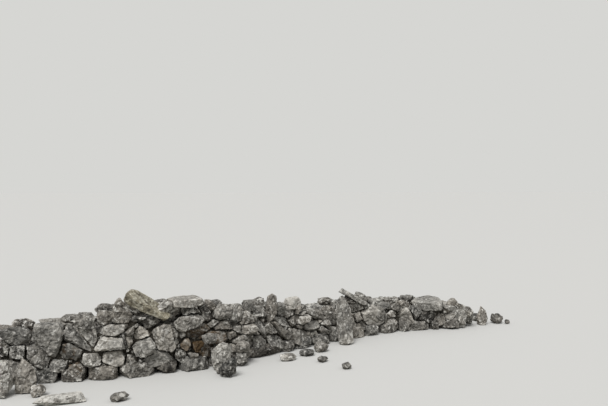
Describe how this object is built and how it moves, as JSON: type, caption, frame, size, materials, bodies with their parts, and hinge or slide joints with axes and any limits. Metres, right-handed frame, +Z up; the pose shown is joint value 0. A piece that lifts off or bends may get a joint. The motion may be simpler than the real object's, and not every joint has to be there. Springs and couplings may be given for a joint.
{
  "type": "ruined dry stone wall",
  "caption": "Curving run of a ruined dry stone field wall: two leaning faces of limestone on footings with a rubble core, a broken cope and tumbled stones at the foot.",
  "frame": {"origin": "on the level ground under the wall's centre line, halfway along its length", "axes": "+X along the run, from the picture's left edge to the low tumbled end; -Y towards the pictured front; +Z up"},
  "size_m": [7.7073, 2.5397, 0.9137],
  "materials": {
    "face_stone": "rough",
    "footing_stone": "rough",
    "core_rubble": "rough",
    "cope_stone": "rough",
    "fallen_stone": "rough"
  },
  "bodies": {
    "root": {"footings_1": "footing_stone", "footings_2": "footing_stone", "footings_3": "footing_stone", "footings_4": "footing_stone", "footings_5": "footing_stone", "footings_6": "footing_stone", "front_face_1": "face_stone", "front_face_2": "face_stone", "front_face_3": "face_stone", "front_face_4": "face_stone", "front_face_5": "face_stone", "front_face_6": "face_stone", "back_face_1": "face_stone", "back_face_2": "face_stone", "back_face_3": "face_stone", "back_face_4": "face_stone", "back_face_5": "face_stone", "back_face_6": "face_stone", "core_1": "core_rubble", "core_2": "core_rubble", "core_3": "core_rubble", "core_4": "core_rubble", "core_5": "core_rubble", "core_6": "core_rubble", "cope_stones_1": "cope_stone", "cope_stones_2": "cope_stone", "cope_stones_3": "cope_stone", "cope_stones_4": "cope_stone", "cope_stones_5": "cope_stone", "cope_stones_6": "cope_stone", "through_stones": "cope_stone", "face_boulders": "face_stone", "leaning_slab": "cope_stone", "prop_stone": "cope_stone", "flat_cope_slab": "cope_stone", "raised_slab": "cope_stone", "broad_slab": "cope_stone", "upright_slab": "fallen_stone", "pointed_boulder": "fallen_stone", "corner_boulder": "fallen_stone", "long_fallen_slab": "fallen_stone", "fallen_stones": "fallen_stone", "front_tumble_lower": "fallen_stone", "front_tumble_upper": "fallen_stone", "tail_stones": "fallen_stone"}
  },
  "joints": []
}
